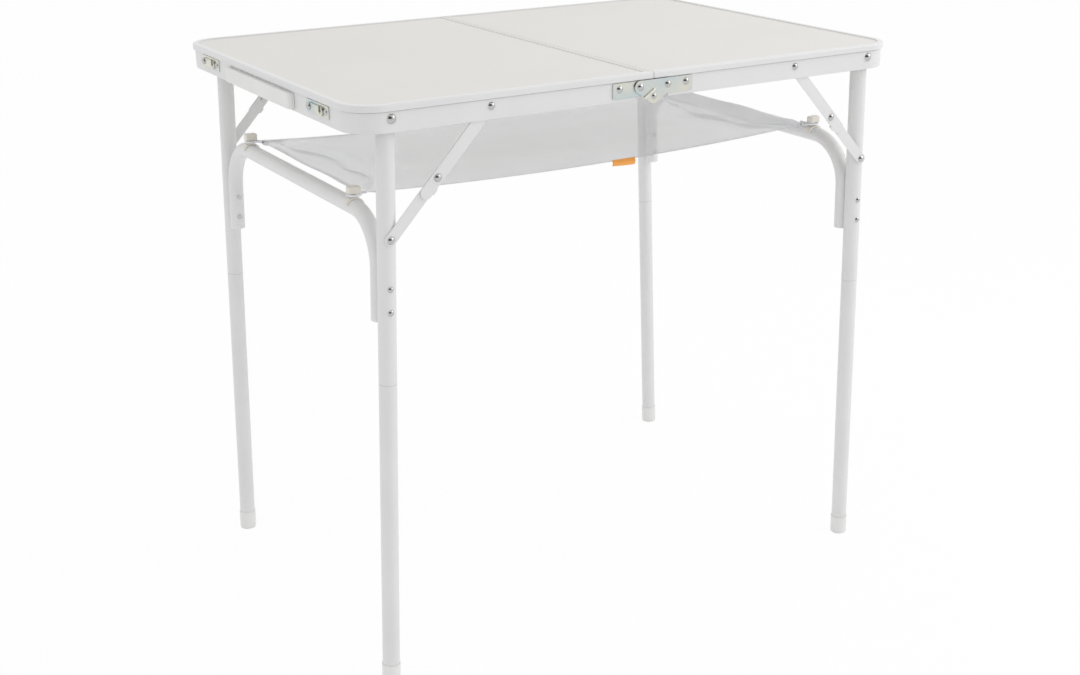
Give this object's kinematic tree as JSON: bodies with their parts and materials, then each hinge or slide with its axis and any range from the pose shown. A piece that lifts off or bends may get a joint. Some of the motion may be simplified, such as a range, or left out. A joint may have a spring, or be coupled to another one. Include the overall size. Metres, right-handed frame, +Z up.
{
  "type": "folding camping table",
  "caption": "Two-part folding camping table with rounded rails, tubular folding leg frames, hinged locking braces, push-on lower legs, latches, handle and a fabric shelf",
  "frame": {"origin": "centre of the footprint, on the floor under the feet", "axes": "+X along the table's length, with the handle and latches on the -X end; +Y towards the back long side; +Z up"},
  "size_m": [0.8116, 0.553, 0.745],
  "materials": {
    "laminate_top": "satin light warm grey laminate",
    "white_frame": "satin white powder coat",
    "zinc_steel": "bright zinc plating",
    "bright_rivet": "polished rivet heads",
    "white_plastic": "moulded, satin",
    "cream_plastic": "moulded, satin",
    "net_fabric": "fine translucent mesh cloth",
    "tag_fabric": "woven tape"
  },
  "bodies": {
    "left_half": {"left_top_panel": "laminate_top", "left_edge_rail": "white_frame", "left_seam_edging": "white_frame", "left_hinge_plates": "zinc_steel", "left_hinge_plate_rivets": "bright_rivet", "left_leg_pivot_bolts": "bright_rivet", "left_pivot_spacers": "white_plastic", "left_brace_rail_rivets": "bright_rivet", "latch_plates": "zinc_steel", "latch_pins": "bright_rivet", "storage_net": "net_fabric", "net_tag": "tag_fabric"},
    "right_half": {"right_top_panel": "laminate_top", "right_edge_rail": "white_frame", "right_seam_edging": "white_frame", "right_hinge_plates": "zinc_steel", "right_hinge_plate_rivets": "bright_rivet", "right_leg_pivot_bolts": "bright_rivet", "right_pivot_spacers": "white_plastic", "right_brace_rail_rivets": "bright_rivet", "latch_catch_studs": "zinc_steel"},
    "centre_links": {"centre_hinge_links": "zinc_steel", "centre_hinge_rivets": "bright_rivet", "centre_lock_wires": "zinc_steel"},
    "left_leg_frame": {"left_front_upper_leg": "white_frame", "left_back_upper_leg": "white_frame", "left_cross_tube": "white_frame", "left_cross_tube_caps": "white_plastic", "left_frame_rivets": "bright_rivet", "left_brace_leg_rivets": "bright_rivet", "left_net_clips": "cream_plastic"},
    "left_upper_links": {"left_front_upper_link": "white_frame", "left_back_upper_link": "white_frame"},
    "left_lower_links": {"left_front_lower_link": "white_frame", "left_back_lower_link": "white_frame"},
    "left_front_extension": {"left_front_lower_leg": "white_frame", "left_front_foot": "white_plastic"},
    "left_back_extension": {"left_back_lower_leg": "white_frame", "left_back_foot": "white_plastic"},
    "right_leg_frame": {"right_front_upper_leg": "white_frame", "right_back_upper_leg": "white_frame", "right_cross_tube": "white_frame", "right_cross_tube_caps": "white_plastic", "right_frame_rivets": "bright_rivet", "right_brace_leg_rivets": "bright_rivet", "right_net_clips": "cream_plastic"},
    "right_upper_links": {"right_front_upper_link": "white_frame", "right_back_upper_link": "white_frame"},
    "right_lower_links": {"right_front_lower_link": "white_frame", "right_back_lower_link": "white_frame"},
    "right_front_extension": {"right_front_lower_leg": "white_frame", "right_front_foot": "white_plastic"},
    "right_back_extension": {"right_back_lower_leg": "white_frame", "right_back_foot": "white_plastic"},
    "handle": {"carry_handle": "white_plastic"},
    "front_hook": {"front_latch_hook": "zinc_steel"},
    "back_hook": {"back_latch_hook": "zinc_steel"}
  },
  "joints": [
    {"name": "centre_fold_left", "type": "hinge", "parent": "left_half", "child": "centre_links", "pos_m": [-0.0205, 0, 0.7285], "axis": [0, -1, 0], "range_deg": [-26, 0], "deforming": ["storage_net"]},
    {"name": "centre_fold_right", "type": "hinge", "parent": "centre_links", "child": "right_half", "pos_m": [0.0205, 0, 0.7285], "axis": [0, -1, 0], "range_deg": [-26, 0], "deforming": ["storage_net"]},
    {"name": "left_leg_fold", "type": "hinge", "parent": "left_half", "child": "left_leg_frame", "pos_m": [-0.352, 0, 0.7285], "axis": [0, -1, 0], "range_deg": [0, 28], "deforming": ["storage_net"]},
    {"name": "left_upper_link_swing", "type": "hinge", "parent": "left_half", "child": "left_upper_links", "pos_m": [-0.2255, 0, 0.7285], "axis": [0, -1, 0], "range_deg": [0, 54.7]},
    {"name": "left_lower_link_swing", "type": "hinge", "parent": "left_leg_frame", "child": "left_lower_links", "pos_m": [-0.35784, 0, 0.58922], "axis": [0, 1, 0], "range_deg": [0, 58.3]},
    {"name": "left_front_leg_pull", "type": "slide", "parent": "left_leg_frame", "child": "left_front_extension", "axis": [-0.0419, 0, -0.9991], "range_m": [0, 0.035]},
    {"name": "left_back_leg_pull", "type": "slide", "parent": "left_leg_frame", "child": "left_back_extension", "axis": [-0.0419, 0, -0.9991], "range_m": [0, 0.035]},
    {"name": "right_leg_fold", "type": "hinge", "parent": "right_half", "child": "right_leg_frame", "pos_m": [0.352, 0, 0.7285], "axis": [0, 1, 0], "range_deg": [0, 28], "deforming": ["storage_net"]},
    {"name": "right_upper_link_swing", "type": "hinge", "parent": "right_half", "child": "right_upper_links", "pos_m": [0.2255, 0, 0.7285], "axis": [0, 1, 0], "range_deg": [0, 54.7]},
    {"name": "right_lower_link_swing", "type": "hinge", "parent": "right_leg_frame", "child": "right_lower_links", "pos_m": [0.35784, 0, 0.58922], "axis": [0, -1, 0], "range_deg": [0, 58.3]},
    {"name": "right_front_leg_pull", "type": "slide", "parent": "right_leg_frame", "child": "right_front_extension", "axis": [0.0419, 0, -0.9991], "range_m": [0, 0.035]},
    {"name": "right_back_leg_pull", "type": "slide", "parent": "right_leg_frame", "child": "right_back_extension", "axis": [0.0419, 0, -0.9991], "range_m": [0, 0.035]},
    {"name": "handle_pull", "type": "slide", "parent": "left_half", "child": "handle", "axis": [-1, 0, 0], "range_m": [0, 0.0139]},
    {"name": "front_hook_swing", "type": "hinge", "parent": "left_half", "child": "front_hook", "pos_m": [-0.4, -0.155, 0.7285], "axis": [1, 0, 0], "range_deg": [0, 90]},
    {"name": "back_hook_swing", "type": "hinge", "parent": "left_half", "child": "back_hook", "pos_m": [-0.4, 0.195, 0.7285], "axis": [1, 0, 0], "range_deg": [0, 90]}
  ],
  "couplings": [
    {"joint": "centre_fold_right", "follows": "centre_fold_left", "ratio": 1},
    {"joint": "left_upper_link_swing", "follows": "left_leg_fold", "ratio": 1.9516},
    {"joint": "left_lower_link_swing", "follows": "left_leg_fold", "ratio": 2.0779},
    {"joint": "right_upper_link_swing", "follows": "right_leg_fold", "ratio": 1.9516},
    {"joint": "right_lower_link_swing", "follows": "right_leg_fold", "ratio": 2.0779}
  ]
}
